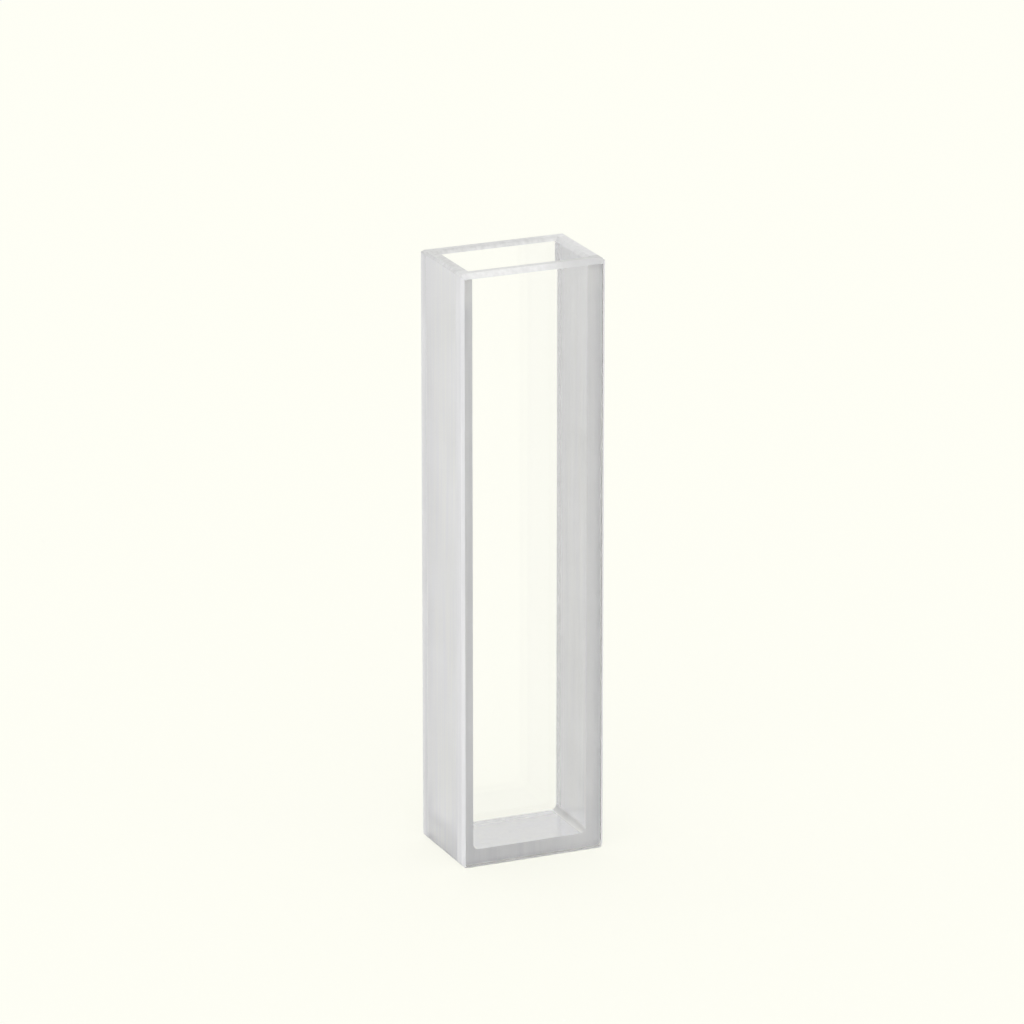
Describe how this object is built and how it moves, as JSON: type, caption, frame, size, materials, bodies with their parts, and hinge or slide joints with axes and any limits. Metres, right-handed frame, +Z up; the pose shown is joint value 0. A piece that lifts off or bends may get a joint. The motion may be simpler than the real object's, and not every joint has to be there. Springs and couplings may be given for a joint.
{
  "type": "cuvette",
  "caption": "Upright open-topped rectangular glass cell with polished windows front and rear and ground sides, which holds a liquid sample in a light beam.",
  "frame": {"origin": "middle of the base, on the surface that the cell stands on", "axes": "+Z up to the open rim, +X along the windows' width, -Y out through the front window"},
  "size_m": [0.0126, 0.0086, 0.05],
  "materials": {
    "ground_glass": "ground matt on the outside, from fine abrasive",
    "polished_glass": "optically polished"
  },
  "bodies": {
    "root": {"u_frame": "ground_glass", "front_window": "polished_glass", "rear_window": "polished_glass"}
  },
  "joints": []
}
